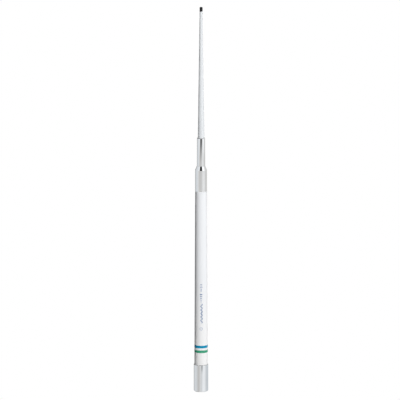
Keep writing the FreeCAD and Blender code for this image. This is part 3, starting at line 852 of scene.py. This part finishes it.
STUD_HOLE = 7.95 * MM
STUD_CHAMFER = 1.0 * MM
STUD_PITCH = INCH / 18
STUD_THREAD_DEPTH = 0.77 * MM
THREAD_CLEARANCE = 0.06 * MM
JOINT_LENGTH = 56.5 * MM
SHOULDER_ROUND = 1.0 * MM
NECK_RADIUS = 10.9 * MM
PARTING_CHAMFER = 0.25 * MM
CAVITY_RADIUS = 10.0 * MM
CAVITY_DEPTH = 18.0 * MM
STUB_HOLE = 2.02 * MM
STUB_LENGTH = 4.02 * MM
COLLAR_HEAD_RADIUS = 10.6 * MM
COLLAR_THREAD_LENGTH = 19.0 * MM
COLLAR_THREAD_DEPTH = 0.7 * MM
ROD_SEAT_DEPTH = 8.02 * MM


def lower_joint_ferrule():
    """Sleeve, conical shoulder with a rounded edge, and the seat with its groove."""
    outer = radius_of("lower_joint_ferrule")
    bottom, seat = bottom_of("lower_joint_ferrule"), top_of("lower_joint_ferrule")
    shoulder = bottom + JOINT_LENGTH
    cup, cup_top = SPIGOT_RADIUS + GLUE, top_of("lower_tube") + GLUE
    cavity_top = top_of("lower_tube") + CAVITY_DEPTH
    ring = box_of("joint_o_ring")
    section = (ring[1].z - ring[0].z) / 2
    groove_outer, groove_inner = ring[1].x + GLUE, ring[1].x - 2 * section - GLUE
    groove_bottom = ring[0].z - SLIP
    stud_bottom = bottom_of("joint_stud") - GLUE
    lean = Vector((NECK_RADIUS - outer, seat - PARTING_CHAMFER - shoulder)).angle(Vector((0, 1)))
    round_bottom = shoulder - SHOULDER_ROUND * math.tan(lean / 2)
    piece = turned("lower_joint_ferrule_turned", [
        (cup, bottom),
        (outer, bottom),
        *arc(outer - SHOULDER_ROUND, round_bottom, SHOULDER_ROUND, 0, math.degrees(lean)),
        (NECK_RADIUS, seat - PARTING_CHAMFER),
        (NECK_RADIUS - PARTING_CHAMFER, seat),
        (groove_outer, seat),
        (groove_outer, groove_bottom),
        (groove_inner, groove_bottom),
        (groove_inner, seat),
        (STUD_HOLE, seat),
        (STUD_HOLE, stud_bottom),
        (0, stud_bottom),
        (0, cavity_top + STUB_LENGTH),
        (STUB_HOLE, cavity_top + STUB_LENGTH),
        (STUB_HOLE, cavity_top),
        (CAVITY_RADIUS, cavity_top),
        (CAVITY_RADIUS, cup_top),
        (cup, cup_top),
    ])
    stand_in(piece, "lower_joint_ferrule")


def joint_stud():
    """Stud with 5/8 inch, 18 threads an inch, above the seat, cut right through the chamfer at its top."""
    radius, bottom, top = radius_of("joint_stud"), bottom_of("joint_stud"), top_of("joint_stud")
    seat = top_of("lower_joint_ferrule")
    thread = Thread(radius, STUD_PITCH, STUD_THREAD_DEPTH, seat - STUD_PITCH, top + STUD_CHAMFER)
    piece = turned("joint_stud_threaded", [
        (0, bottom),
        (radius - STUD_CHAMFER, bottom),
        (radius, bottom + STUD_CHAMFER),
        (radius, seat - STUD_PITCH, thread),
        (radius, top - STUD_CHAMFER, thread),
        (radius - STUD_CHAMFER, top),
        (0, top),
    ])
    stand_in(piece, "joint_stud")


def upper_joint_ferrule():
    """Ferrule under the whip, with the thread that fits the stud."""
    bottom, top = bottom_of("upper_joint_ferrule"), top_of("upper_joint_ferrule")
    thread_top = bottom + COLLAR_THREAD_LENGTH
    bore = STUD_HOLE + THREAD_CLEARANCE
    thread = Thread(bore, STUD_PITCH, COLLAR_THREAD_DEPTH, bottom, thread_top)
    cup, rod = radius_of("whip_tube") + GLUE, radius_of("upper_element") + SLIP
    web_top = bottom_of("whip_tube")
    piece = turned("upper_joint_ferrule_threaded", [
        (NECK_RADIUS - PARTING_CHAMFER, bottom),
        (NECK_RADIUS, bottom + PARTING_CHAMFER),
        *arc(COLLAR_HEAD_RADIUS - COLLAR_RIM_ROUND, top - COLLAR_RIM_ROUND, COLLAR_RIM_ROUND, 0, 90),
        (cup + COUNTERSINK, top),
        (cup, top - COUNTERSINK),
        (cup, web_top),
        (rod, web_top),
        (rod, web_top - ROD_SEAT_DEPTH),
        (0, web_top - ROD_SEAT_DEPTH),
        (0, thread_top),
        (bore, thread_top, thread),
        (bore, bottom),
    ])
    stand_in(piece, "upper_joint_ferrule")


# ---------------------------------------------------------------- whip

WHIP_FOOT_BORE = 5.8 * MM
WHIP_HEAD_BORE = 2.1 * MM
WHIP_HEAD_RADIUS = 3.75 * MM
CAP_SHANK_LENGTH = 10.0 * MM
CAP_LEAD, CAP_LEAD_LENGTH = 0.3 * MM, 1.0 * MM
CAP_ROUND = 2.3 * MM


def whip_tube():
    """Tapered glass-fibre whip."""
    bottom, top, foot = bottom_of("whip_tube"), top_of("whip_tube"), radius_of("whip_tube")
    piece = turned("whip_tube_wound", [
        (WHIP_FOOT_BORE, bottom),
        (foot - TUBE_CHAMFER, bottom),
        (foot, bottom + TUBE_CHAMFER),
        (foot, top_of("upper_joint_ferrule")),
        (WHIP_HEAD_RADIUS, top),
        (WHIP_HEAD_BORE, top),
    ], segments=WHIP_SEGMENTS)
    stand_in(piece, "whip_tube")
    # The whip takes the darker white, which is painted shade.
    piece.data.materials[0] = SHADED_WHIP_WHITE.material


def tip_cap():
    """Domed cap with its shank in the whip."""
    head, bottom, top = radius_of("tip_cap"), bottom_of("tip_cap"), top_of("tip_cap")
    shank, seat = WHIP_HEAD_BORE - GLUE, bottom + CAP_SHANK_LENGTH
    piece = turned("tip_cap_moulded", [
        (0, bottom),
        (shank - CAP_LEAD, bottom),
        (shank, bottom + CAP_LEAD_LENGTH),
        (shank, seat),
        (head, seat),
        *arc(head - CAP_ROUND, top - CAP_ROUND, CAP_ROUND, 0, 90, steps=10),
        (0, top),
    ], segments=SMALL_SEGMENTS)
    stand_in(piece, "tip_cap")


# ---------------------------------------------------------------- stage

FLOOR_DROP = 0.0004
STAGE_RADIUS = 26.0
STAGE_SEGMENTS = 96
BACKDROP_STRENGTH = 1.05
BOUNCE_STRENGTH = 0.36
BOUNCE_PLACE = (0.2, -0.22)
BOUNCE_RADIUS = 0.32
BOUNCE_COLOUR = (0.97, 1.0, 1.0)
WORLD_COLOUR = (0.9, 0.95, 1.0)
WORLD_STRENGTH = 0.03

Light = namedtuple("Light", "name azimuth elevation distance width height power")
LIGHTS = (
    Light(name="key", azimuth=15, elevation=12, distance=2.6, width=0.6, height=2.2, power=77),
    Light(name="side", azimuth=100, elevation=10, distance=2.6, width=0.8, height=2.2, power=24),
    Light(name="back", azimuth=-158, elevation=12, distance=2.6, width=1.3, height=2.2, power=75),
    Light(name="under", azimuth=0, elevation=-90, distance=1.2, width=0.3, height=0.3, power=4),
)

# Light levels round the tent, as (azimuth, level, coolness), from the base up: for the base ferrule, the
# tube, the joint's sleeve, the ferrule above it and the whip. The plated pieces share a dark gap behind them.
BEHIND_LEFT = ((-180, 0.6, 0), (-170, 0.3, 0), (-140, 0.3, 0))
BEHIND_RIGHT = ((165, 1.0, 0), (180, 0.6, 0))
TENT_BASE = (
    *BEHIND_LEFT, (-130, 1.05, 0.03), (-75, 1.05, 0.03), (-55, 0.9, 0), (-40, 0.8, -0.02), (-25, 0.9, -0.02),
    (-5, 1.1, 0.01), (10, 1.0, 0.02), (20, 1.25, 0.02), (40, 1.35, 0.02), (60, 1.25, 0.02), (75, 1.05, 0.03),
    (100, 0.9, 0.05), (130, 0.9, 0.05), *BEHIND_RIGHT,
)
TENT_TUBE = (
    (-180, 0.1, 0), (-110, 0.1, 0), (-90, 0.9, 0), (-60, 1.1, 0), (0, 1.0, 0), (60, 1.1, 0), (90, 1.2, 0),
    (115, 1.4, 0), (180, 1.4, 0),
)
TENT_SLEEVE = (
    *BEHIND_LEFT, (-130, 1.0, 0.03), (-105, 1.0, 0.04), (-80, 1.1, 0.04), (-55, 1.15, 0.01),
    (-40, 0.9, -0.02), (5, 0.9, -0.01), (25, 1.15, 0), (45, 1.25, 0), (65, 1.2, 0), (90, 0.95, -0.01),
    (125, 0.9, -0.02), *BEHIND_RIGHT,
)
TENT_COLLAR = (
    *BEHIND_LEFT, (-120, 1.0, 0.02), (-85, 1.1, 0.04), (-60, 1.2, 0.03), (-40, 1.4, 0.02), (5, 1.2, -0.01),
    (30, 1.8, 0.01), (60, 1.8, 0.01), (75, 1.3, 0.01), (85, 1.1, -0.01), (100, 1.0, -0.01),
    (130, 0.95, -0.01), *BEHIND_RIGHT,
)
TENT_WHIP = (
    (-180, 0.1, 0), (-110, 0.1, 0), (-90, 0.9, 0.02), (-60, 1.2, 0.02), (0, 1.2, 0), (50, 1.35, 0.01),
    (90, 1.2, 0.01), (115, 1.3, 0), (180, 1.3, 0),
)
TENT_PANELS = (TENT_BASE, TENT_TUBE, TENT_SLEEVE, TENT_COLLAR, TENT_WHIP)

# Heights over which each panel turns into the next one.
TENT_CHANGES = ((0.04, 0.055), (0.455, 0.49), (0.59, 0.66), (0.72, 0.74))
TENT_PEAK = 2.0
TENT_RADIUS = 0.16
TENT_HEIGHT = 1.7
TENT_DROP = 0.4

# Dark gaps between the tent's panels. Softness is in degrees too. A gap begins at the height starts, and is
# at its darkest from full up to ends. With a lean it begins that much higher for each degree to the right.
Gap = namedtuple("Gap", "left right softness starts full ends lean depth")
GAP_END = 0.01
TENT_GAPS = (
    Gap(left=-28, right=37, softness=9, starts=0.576, full=0.645, ends=0.66, lean=0.0003, depth=0.84),
    Gap(left=-29, right=25, softness=5, starts=0.655, full=0.665, ends=0.72, lean=0.0, depth=0.98),
    Gap(left=3, right=24, softness=7, starts=0.012, full=0.036, ends=0.05, lean=0.0, depth=0.55),
)


class Glow(Nodes):
    """A plain glowing material for the stage, and the nodes that shape its light."""

    def __init__(self, name, strength, colour=(1, 1, 1)):
        super().__init__(name)
        self.tree.nodes.clear()
        self.emission = self.node("ShaderNodeEmission", Color=(*colour, 1), Strength=strength)
        self.output = self.node("ShaderNodeOutputMaterial")
        self.link(self.emission.outputs["Emission"], self.output.inputs["Surface"])

    def smooth(self, source, start, end, low=0, high=1):
        """Goes smoothly from low to high while the source goes from start to end."""
        return self.spread(source, low, high, start, end, "SMOOTHSTEP")

    def levels(self, around, stops):
        """Colour round a circle, from stops of (azimuth, level, coolness) in rising order."""
        ramp = self.node("ShaderNodeValToRGB")
        elements = ramp.color_ramp.elements
        while len(elements) > 1:
            elements.remove(elements[-1])
        for i, (azimuth, level, cool) in enumerate(stops):
            position, share = (azimuth + 180) / 360, level / TENT_PEAK
            element = elements[0] if i == 0 else elements.new(position)
            element.position = position
            element.color = (share * (1 - cool), share, share * (1 + cool), 1)
        self.link(around, ramp.inputs["Fac"])
        return ramp.outputs["Color"]

    def scaled(self, colour, share):
        """A colour times a factor."""
        made = self.node("ShaderNodeVectorMath", operation="SCALE")
        self.link(colour, made.inputs[0])
        self.link(share, made.inputs["Scale"])
        return made.outputs["Vector"]


def stage_object(name, mesh, light, seen_by):
    """A glowing stage object that only the named kinds of ray see."""
    made = surface_object(name, mesh)
    made.data.materials.append(light.material)
    for kind in ("camera", "diffuse", "glossy", "transmission", "shadow"):
        setattr(made, f"visible_{kind}", kind in seen_by)
    return made


def disc(radius, place):
    """Flat round mesh."""
    mesh = bmesh.new()
    bmesh.ops.create_circle(mesh, cap_ends=True, segments=STAGE_SEGMENTS, radius=radius)
    bmesh.ops.translate(mesh, verts=mesh.verts, vec=place)
    return mesh


def make_floor(name, light, radius, place, seen_by):
    """Plain pale floor, lit evenly like a light table, and clear from below."""
    side = light.node("ShaderNodeNewGeometry")
    clear = light.node("ShaderNodeBsdfTransparent")
    mix = light.node("ShaderNodeMixShader")
    light.link(side.outputs["Backfacing"], mix.inputs["Fac"])
    light.link(light.emission.outputs["Emission"], mix.inputs[1])
    light.link(clear.outputs["BSDF"], mix.inputs[2])
    light.link(mix.outputs["Shader"], light.output.inputs["Surface"])
    floor = stage_object(name, disc(radius, place), light, seen_by)
    if floor.data.polygons[0].normal.z < 0:
        floor.data.flip_normals()


def make_backdrop():
    """White dome far behind everything, seen only directly."""
    mesh = bmesh.new()
    bmesh.ops.create_uvsphere(mesh, u_segments=48, v_segments=24, radius=STAGE_RADIUS)
    stage_object("backdrop", mesh, Glow("white backdrop", BACKDROP_STRENGTH), ("camera", "transmission"))


def tent_light():
    """The tent's glow: a panel for each stretch of height, less the dark gaps between them."""
    light = Glow("light tent", TENT_PEAK)
    place = light.node("ShaderNodeTexCoord").outputs["Object"]
    height = light.height_of(place)
    turn = light.node("ShaderNodeMapping", Rotation=(0, 0, math.radians(90)))
    light.link(place, turn.inputs["Vector"])
    circle = light.node("ShaderNodeTexGradient", gradient_type="RADIAL")
    light.link(turn.outputs["Vector"], circle.inputs["Vector"])
    around = circle.outputs["Fac"]
    azimuth = light.multiply(light.arithmetic("SUBTRACT", around, 0.5), 360.0)

    colour = light.levels(around, TENT_PANELS[0])
    for panel, (start, end) in zip(TENT_PANELS[1:], TENT_CHANGES):
        colour = light.mixed(light.smooth(height, start, end), colour, light.levels(around, panel))
    for gap in TENT_GAPS:
        past_left = light.smooth(azimuth, gap.left - gap.softness, gap.left + gap.softness)
        before_right = light.smooth(azimuth, gap.right - gap.softness, gap.right + gap.softness, 1, 0)
        leaning = light.arithmetic("SUBTRACT", height, light.multiply(azimuth, gap.lean))
        past_start = light.smooth(leaning, gap.starts, gap.full)
        before_end = light.smooth(height, gap.ends, gap.ends + GAP_END, 1, 0)
        across, along = light.multiply(past_left, before_right), light.multiply(past_start, before_end)
        dark = light.multiply(light.multiply(across, along), gap.depth)
        colour = light.scaled(colour, light.arithmetic("SUBTRACT", 1.0, dark))
    light.link(colour, light.emission.inputs["Color"])
    return light


def make_tent():
    """Round light tent close to the antenna, which only reflections see. It gives the plating its streaks."""
    mesh = bmesh.new()
    bmesh.ops.create_cone(
        mesh, segments=STAGE_SEGMENTS, radius1=TENT_RADIUS, radius2=TENT_RADIUS, depth=TENT_HEIGHT)
    bmesh.ops.translate(mesh, verts=mesh.verts, vec=(0, 0, TENT_HEIGHT / 2 - TENT_DROP))
    stage_object("light_tent", mesh, tent_light(), ("glossy",))
    under = disc(TENT_RADIUS, (0, 0, -TENT_DROP))
    stage_object("light_tent_floor", under, Glow("light tent floor", 1.0), ("glossy",))


def area_light(light):
    """Soft box aimed at the middle of the antenna, seen by neither the camera nor reflections."""
    data = bpy.data.lights.new(light.name, "AREA")
    data.shape = "RECTANGLE"
    data.size = light.width
    data.size_y = light.height
    data.energy = light.power
    lamp = bpy.data.objects.new(light.name, data)
    bpy.context.scene.collection.objects.link(lamp)
    turn, tilt = math.radians(light.azimuth), math.radians(light.elevation)
    away = Vector((math.sin(turn) * math.cos(tilt), -math.cos(turn) * math.cos(tilt), math.sin(tilt)))
    lamp.location = Vector((0, 0, AIM_HEIGHT)) + away * light.distance
    lamp.rotation_mode = "QUATERNION"
    lamp.rotation_quaternion = away.to_track_quat("Z", "Y")
    lamp.visible_camera = False
    lamp.visible_glossy = False


def make_world():
    """Faint cool light from all round."""
    world = bpy.data.worlds.new("pale surroundings")
    world.use_nodes = True
    background = world.node_tree.nodes["Background"]
    background.inputs["Color"].default_value = (*WORLD_COLOUR, 1)
    background.inputs["Strength"].default_value = WORLD_STRENGTH
    bpy.context.scene.world = world


def make_stage():
    bpy.context.scene.view_settings.view_transform = "Standard"
    make_world()
    make_floor("floor", Glow("floor", 1.0), STAGE_RADIUS, (0, 0, -FLOOR_DROP), ("camera", "transmission"))
    bounce = Glow("floor_bounce", BOUNCE_STRENGTH, BOUNCE_COLOUR)
    make_floor("floor_bounce", bounce, BOUNCE_RADIUS, (*BOUNCE_PLACE, -2 * FLOOR_DROP), ("diffuse",))
    make_backdrop()
    make_tent()
    for light in LIGHTS:
        area_light(light)


make_camera()
dress_cad_nodes()
base_ferrule()
seal_bead("base_seal_bead", radius_of("lower_tube"))
coax_socket_shell()
coax_socket_insulator()
coax_socket_contact()
lower_tube()
colour_band("green_band")
colour_band("blue_band")
printed_mark()
lower_joint_ferrule()
joint_stud()
upper_joint_ferrule()
seal_bead("whip_seal_bead", radius_of("whip_tube"))
whip_tube()
tip_cap()
make_stage()
